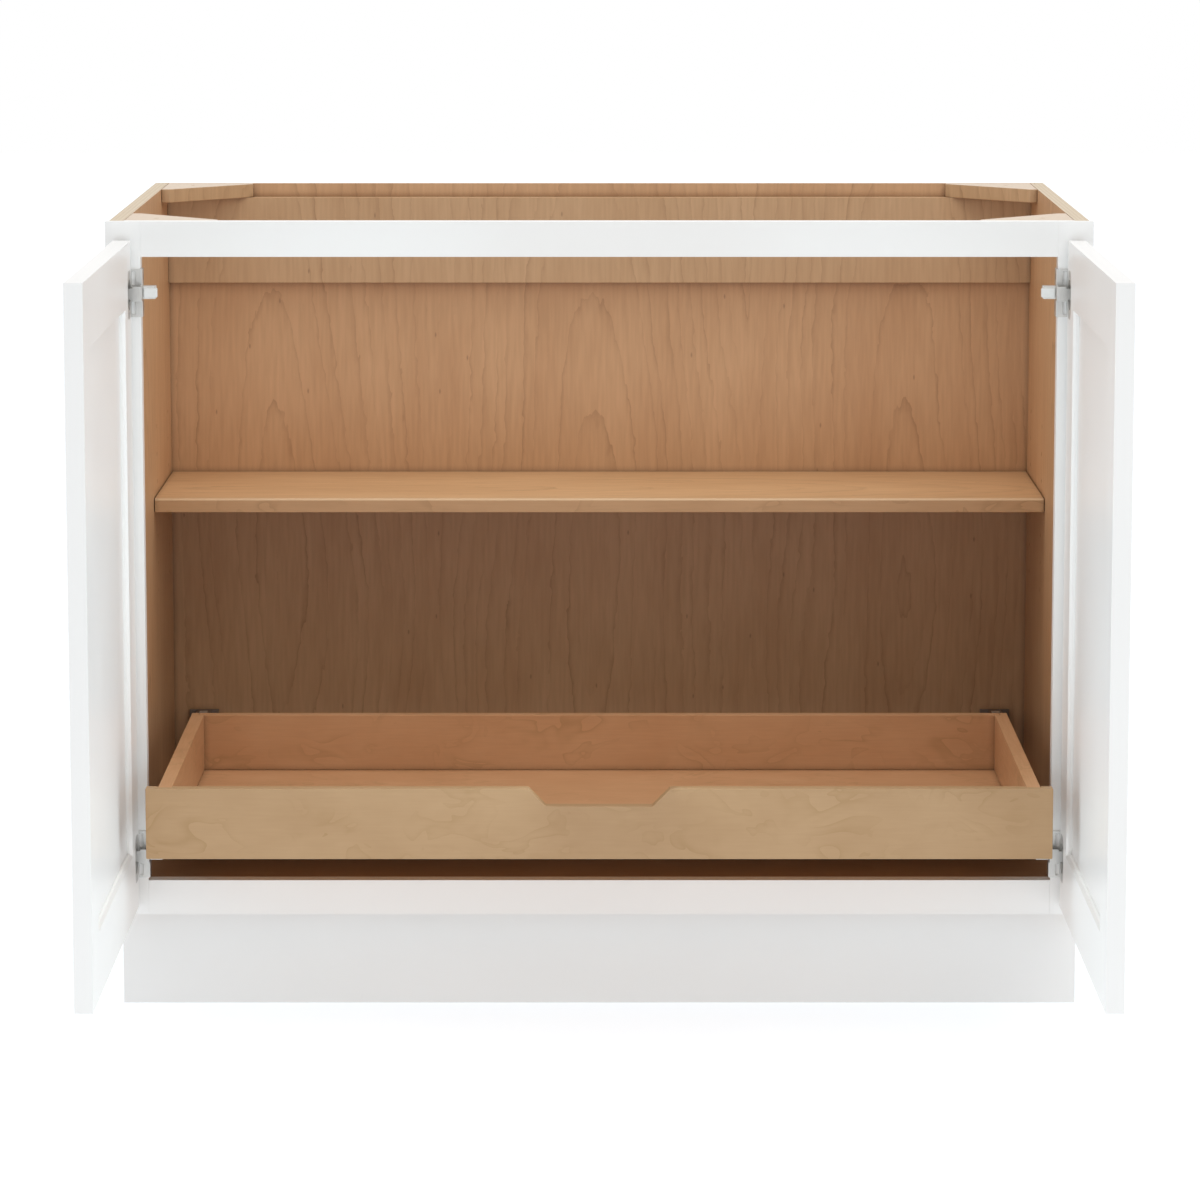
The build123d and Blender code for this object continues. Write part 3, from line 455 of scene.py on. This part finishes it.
# Painted shade: darker veneer on the cabinet floor, which lies in the tray's shadow
SHADED_FLOOR_VENEER = maple_veneer("maple_veneer_floor_painted_shade", "Y", "X", SHELF_HEART, SHADED_FLOOR_TONES)
SHELF_FACE = figured_maple("figured_maple_shelf", "Z", "X", LIPPING_TONES, HIGHLIGHT_ABOVE)
TRAY_FACE = figured_maple("figured_maple_face", "Z", "X", TRAY_FRONT_TONES)
TRAY_LONG = figured_maple("figured_maple_long", "Z", "X", TRAY_TONES)
TRAY_DEEP = figured_maple("figured_maple_deep", "Z", "Y", TRAY_TONES)
TRAY_FLAT = figured_maple("figured_maple_flat", "Y", "X", TRAY_TONES)
NICKEL = plated_steel("nickel_plated_steel", "#DAD9D6", "#C8C7C4", 0.40)
ZINC = plated_steel("zinc_plated_steel", "#C2C3C6", "#A3A5A8", 0.34)
NYLON = moulded_plastic("white_nylon", "#F0F0EE", "#E6E6E3", 0.42)
DARK_PLASTIC = moulded_plastic("dark_polypropylene", "#85776B", "#786B60", 0.5)
ENAMEL = moulded_plastic("white_epoxy_enamel", "#DEDCD6", "#D2D0CA", 0.36)


# Pieces
def pick(piece):
    """Leaves one object selected and active."""
    bpy.ops.object.select_all(action="DESELECT")
    piece.select_set(True)
    bpy.context.view_layer.objects.active = piece


def take_over(piece, node):
    """The finished piece moves with the node's body, has its finish and shows in its place."""
    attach(piece, NODES[node]["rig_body"])
    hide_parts(node)


def merged_copy(node):
    """A copy of a solid's mesh with its triangles joined up into whole faces."""
    piece = bpy.data.objects.new(node + "_finished", NODES[node].data.copy())
    bpy.context.scene.collection.objects.link(piece)
    pick(piece)
    bpy.ops.mesh.customdata_custom_splitnormals_clear()
    bpy.ops.object.mode_set(mode="EDIT")
    bpy.ops.mesh.select_all(action="SELECT")
    bpy.ops.mesh.remove_doubles(threshold=MERGE)
    bpy.ops.mesh.dissolve_limited(angle_limit=FLAT_ANGLE)
    bpy.ops.object.mode_set(mode="OBJECT")
    return piece


def eased(node, ease, material):
    """A board or pressing with its sharp edges rounded over."""
    piece = merged_copy(node)
    bevel = piece.modifiers.new("ease", "BEVEL")
    bevel.width = ease * MM
    bevel.segments = 2
    bevel.limit_method = "ANGLE"
    bevel.angle_limit = SHARP_ANGLE
    bevel.use_clamp_overlap = False
    bpy.ops.object.modifier_apply(modifier="ease")
    bpy.ops.object.shade_smooth_by_angle(angle=SHARP_ANGLE)
    piece.modifiers.new("level", "WEIGHTED_NORMAL").keep_sharp = True
    bpy.ops.object.modifier_apply(modifier="level")
    piece.data.materials.clear()
    piece.data.materials.append(material)
    take_over(piece, node)
    return piece


def named(*starts):
    """The names of the nodes that begin with one of the words."""
    return [node for node in sorted(NODES) if node.startswith(starts)]


def paint_outside(panel, side):
    """The outer face of a side panel is lacquered like the face frame. The left side is -1."""
    panel.data.materials.append(LACQUER)
    for face in panel.data.polygons:
        if face.normal.x * side > FACING_OUT and abs(face.center.x) > PAINTED_FROM:
            face.material_index = 1


def carcass():
    """Veneered boards, the rail and gussets at the top, and the shelf with its lipping."""
    for node, side in (("side_panel_left", -1), ("side_panel_right", 1)):
        paint_outside(eased(node, BOARD_EASE, SIDE_VENEER), side)
    eased("back_panel", BOARD_EASE, BACK_VENEER)
    eased("hanging_rail", BOARD_EASE, RAIL_VENEER)
    for node in named("corner_gusset"):
        eased(node, GUSSET_EASE, RAIL_VENEER)
    eased("floor_panel", BOARD_EASE, SHADED_FLOOR_VENEER)
    eased("shelf_panel", BOARD_EASE, SHELF_VENEER)
    eased("shelf_edge_strip", BOARD_EASE, SHELF_FACE)


def lacquered_front():
    """The face frame, the toe kick and both doors."""
    for node in named("frame_stile", "frame_top_rail", "frame_bottom_rail", "toe_kick_board"):
        eased(node, PAINT_EASE, LACQUER)
    for node in named("left_door", "right_door"):
        eased(node, PAINT_EASE, LACQUER)


def tray():
    """A roll-out tray. Its front is of a duller tone than its other boards."""
    eased("tray_front", TRAY_EASE, TRAY_FACE)
    eased("tray_back", TRAY_EASE, TRAY_LONG)
    for node in named("tray_side"):
        eased(node, TRAY_EASE, TRAY_DEEP)
    eased("tray_bottom", BOARD_EASE, TRAY_FLAT)


def hinges():
    """Plated plates and cups, with soft-close blocks of nylon."""
    for node in named("hinge_plate_left", "hinge_plate_right", "left_hinge_cup", "right_hinge_cup"):
        eased(node, METAL_EASE, NICKEL)
    eased("hinge_dampers", PLASTIC_EASE, NYLON)


def small_parts():
    """Pieces that keep the shape of their solids, and only take a finish."""
    finishes = (
        (BACK_VENEER, ("frame_dowels",)),
        (NICKEL, ("hinge_pins",)),
        (ZINC, ("hinge_plate_screws", "left_cup_screws", "right_cup_screws")),
        (ZINC, ("slide_screws", "runner_screws", "shelf_pins")),
        (NYLON, ("rail_roller", "tray_roller")),
        (ENAMEL, ("slide_rail", "tray_runner", "slide_front_brackets")),
        (DARK_PLASTIC, ("slide_rear_sockets",)),
    )
    for material, starts in finishes:
        for node in named(*starts):
            NODES[node].data.materials.clear()
            NODES[node].data.materials.append(material)


carcass()
lacquered_front()
tray()
hinges()
small_parts()


# Floor, light and camera
def seen_by_eye(tree):
    """1 for what is seen directly, in a gloss or through glass, and 0 for light that falls elsewhere."""
    ray = add(tree, "LightPath", {}).outputs
    seen = ray["Is Camera Ray"]
    for way in ("Is Glossy Ray", "Is Transmission Ray"):
        seen = add(tree, "Math", {0: seen, 1: ray[way]}, operation="MAXIMUM").outputs[0]
    return seen


def pale_floor():
    """A white floor that glows softly like a light table. It keeps the cabinet's shadow."""
    bpy.ops.mesh.primitive_plane_add(size=FLOOR_SIZE)
    floor = bpy.context.object
    floor.name = "studio_floor"
    material = bpy.data.materials.new("white_studio_floor")
    tree = blank_tree(material)
    paint = add(tree, "BsdfDiffuse", {"Color": srgb(FLOOR_PAINT)})
    lift = {0: seen_by_eye(tree), 1: FLOOR_LIFT, 2: FLOOR_GLOW}
    level = add(tree, "Math", lift, operation="MULTIPLY_ADD").outputs[0]
    glow = add(tree, "Emission", {"Color": srgb(FLOOR_TINT), "Strength": level})
    both = add(tree, "AddShader", {0: paint.outputs[0], 1: glow.outputs[0]})
    add(tree, "OutputMaterial", {"Surface": both.outputs[0]})
    floor.data.materials.append(material)


def white_world():
    """Soft light from all round, stronger overhead, on a backdrop that is plain white to the eye."""
    world = bpy.data.worlds.new("white_studio")
    bpy.context.scene.world = world
    tree = blank_tree(world)
    towards = add(tree, "TexCoord", {}).outputs["Generated"]
    height = add(tree, "SeparateXYZ", {0: towards}).outputs["Z"]
    sky = add(tree, "MapRange", {"Value": height, "To Min": SKY_LOW, "To Max": SKY_HIGH}).outputs[0]
    level = add(tree, "MapRange", {"Value": seen_by_eye(tree), "To Min": sky, "To Max": 1.0}).outputs[0]
    backdrop = add(tree, "Background", {"Color": (1, 1, 1, 1), "Strength": level})
    add(tree, "OutputWorld", {"Surface": backdrop.outputs[0]})


def soft_lamp(name, place, aim, size, power, colour):
    """A large square lamp that faces a point."""
    lamp = bpy.data.lights.new(name, "AREA")
    lamp.size = size
    lamp.energy = power
    lamp.color = srgb(colour)[:3]
    holder = bpy.data.objects.new(name, lamp)
    holder.visible_camera = False
    holder.location = place
    holder.rotation_euler = (Vector(aim) - Vector(place)).to_track_quat("-Z", "Y").to_euler()
    bpy.context.scene.collection.objects.link(holder)


def camera():
    """A long lens in front of the cabinet, above it and tilted down."""
    lens = bpy.data.cameras.new("camera")
    lens.lens = CAMERA_LENS
    lens.sensor_width = CAMERA_SENSOR
    holder = bpy.data.objects.new("camera", lens)
    holder.location = (CAMERA_SIDE, FRAME_FRONT - CAMERA_AWAY, CAMERA_HEIGHT)
    holder.rotation_euler = (radians(90 - CAMERA_TILT), 0, 0)
    bpy.context.scene.collection.objects.link(holder)
    bpy.context.scene.camera = holder


pale_floor()
white_world()
for name, settings in LAMPS.items():
    soft_lamp(name, *settings)
camera()
bpy.context.scene.view_settings.view_transform = "Standard"
